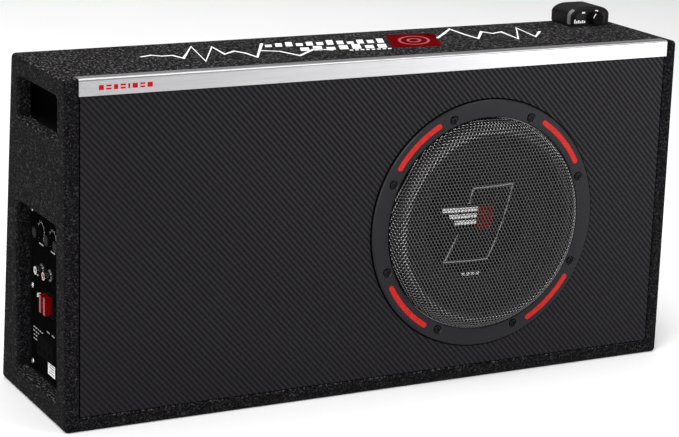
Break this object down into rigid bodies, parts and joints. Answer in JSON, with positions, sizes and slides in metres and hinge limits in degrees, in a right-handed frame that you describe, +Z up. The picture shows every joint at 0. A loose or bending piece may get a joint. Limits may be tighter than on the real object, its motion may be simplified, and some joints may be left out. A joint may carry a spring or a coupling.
{
  "type": "powered car subwoofer",
  "caption": "Slim carpeted wedge enclosure with a ribbed front, a round driver behind a perforated grille, a side bass port, a side amplifier panel and a separate remote level control.",
  "frame": {"origin": "Centre of the enclosure's flat base, on the surface it stands on.", "axes": "+Z up, +X to the right seen from the front, -Y out of the front panel. The driver faces -Y and the amplifier panel faces -X."},
  "size_m": [0.714, 0.2118, 0.3816],
  "materials": {
    "carpet": "charcoal needle-punch carpet",
    "mdf": "fibreboard, stained black",
    "carbon_vinyl": "ribbed carbon-look vinyl",
    "brushed_trim": "brushed, with a printed mark",
    "ring_plastic": "satin moulded plastic",
    "accent_red": "translucent red insert",
    "black_screw": "black oxide",
    "grille_steel": "perforated steel, gloss black powder coat",
    "gasket_foam": "closed-cell foam",
    "basket_steel": "black powder coat",
    "surround_rubber": "satin butyl rubber",
    "cone_paper": "coated pulp cone",
    "dust_cap_print": "black cap with a printed emblem",
    "spider_cloth": "resin-stiffened cloth",
    "coil_copper": "enamelled copper on a former",
    "plated_steel": "zinc plated",
    "ferrite": "sintered ferrite",
    "terminal_tin": "tinned tags on an insulating block",
    "amp_plate_paint": "black powder coat with white printing",
    "heatsink_alloy": "black anodised extrusion",
    "cover_steel": "black painted sheet",
    "circuit_board": "green solder resist",
    "board_parts": "sleeved capacitors and wound cores",
    "control_body": "moulded nylon",
    "knob_plastic": "soft black with a white pointer",
    "nickel": "nickel plated",
    "rca_colours": "one red and one white insert",
    "socket_nylon": "black nylon",
    "led_lens": "tinted lens",
    "socket_white": "natural nylon",
    "fuse_red": "tinted clear plastic",
    "lead_red": "silicone insulation, one red and one black lead",
    "remote_shell": "fine textured",
    "remote_face": "gloss inset with small dial marks"
  },
  "bodies": {
    "enclosure": {"left_board": "mdf", "right_board": "mdf", "top_board": "mdf", "bottom_board": "mdf", "back_board": "mdf", "baffle_board": "mdf", "baffle_vinyl": "carbon_vinyl", "port_floor_board": "mdf", "brace_board": "mdf", "carpet_left": "carpet", "carpet_right": "carpet", "carpet_top": "carpet", "carpet_bottom": "carpet", "carpet_back": "carpet", "trim_angle": "brushed_trim", "driver_gasket": "gasket_foam", "driver_basket": "basket_steel", "surround": "surround_rubber", "spider": "spider_cloth", "top_plate": "plated_steel", "magnet": "ferrite", "yoke": "plated_steel", "driver_terminals": "terminal_tin", "trim_ring": "ring_plastic", "accent_inserts": "accent_red", "ring_screws": "black_screw", "grille": "grille_steel", "amp_mounting_frame": "mdf", "amp_gasket": "gasket_foam", "amp_plate": "amp_plate_paint", "amp_screws": "plated_steel", "amp_heatsink": "heatsink_alloy", "amp_cover": "cover_steel", "amp_pcb": "circuit_board", "amp_components": "board_parts", "control_bodies": "control_body", "rca_shells": "nickel", "rca_inserts": "rca_colours", "remote_port": "socket_nylon", "power_led": "led_lens", "speaker_input_socket": "socket_nylon", "power_terminal_block": "socket_nylon", "terminal_screws": "nickel", "fuse_holder": "socket_nylon", "speaker_leads": "lead_red"},
    "cone_assembly": {"cone": "cone_paper", "dust_cap": "dust_cap_print", "voice_coil": "coil_copper"},
    "gain_knob_body": {"gain_knob": "knob_plastic"},
    "crossover_knob_body": {"crossover_knob": "knob_plastic"},
    "boost_knob_body": {"boost_knob": "knob_plastic"},
    "phase_slider_body": {"phase_slider": "socket_white"},
    "fuse_front_body": {"fuse_front": "fuse_red"},
    "fuse_rear_body": {"fuse_rear": "fuse_red"},
    "remote": {"remote_base": "remote_shell", "remote_housing": "remote_shell", "remote_front_panel": "remote_face", "remote_pot": "control_body", "remote_jack": "socket_nylon"},
    "remote_knob_body": {"remote_knob": "knob_plastic"}
  },
  "joints": [
    {"name": "cone_travel", "type": "slide", "parent": "enclosure", "child": "cone_assembly", "axis": [0, -1, 0], "range_m": [-0.008, 0.008], "stiffness_N_per_m": 2000, "deforming": ["surround", "spider"]},
    {"name": "gain_knob_turn", "type": "hinge", "parent": "enclosure", "child": "gain_knob_body", "pos_m": [-0.3455, -0.021, 0.181], "axis": [-1, 0, 0], "range_deg": [-140, 140]},
    {"name": "crossover_knob_turn", "type": "hinge", "parent": "enclosure", "child": "crossover_knob_body", "pos_m": [-0.3455, 0.014, 0.181], "axis": [-1, 0, 0], "range_deg": [-140, 140]},
    {"name": "boost_knob_turn", "type": "hinge", "parent": "enclosure", "child": "boost_knob_body", "pos_m": [-0.3455, -0.047, 0.181], "axis": [-1, 0, 0], "range_deg": [-140, 140]},
    {"name": "phase_switch_slide", "type": "slide", "parent": "enclosure", "child": "phase_slider_body", "axis": [0, 0, 1], "range_m": [0, 0.004]},
    {"name": "fuse_front_pull", "type": "slide", "parent": "enclosure", "child": "fuse_front_body", "axis": [-1, 0, 0], "range_m": [0, 0.02]},
    {"name": "fuse_rear_pull", "type": "slide", "parent": "enclosure", "child": "fuse_rear_body", "axis": [-1, 0, 0], "range_m": [0, 0.02]},
    {"name": "remote_lift", "type": "slide", "parent": "enclosure", "child": "remote", "axis": [0, 0, 1], "range_m": [0, 0.1]},
    {"name": "remote_knob_turn", "type": "hinge", "parent": "remote", "child": "remote_knob_body", "pos_m": [0.321, 0.009, 0.3694], "axis": [0, -1, 0], "range_deg": [-140, 140]}
  ]
}
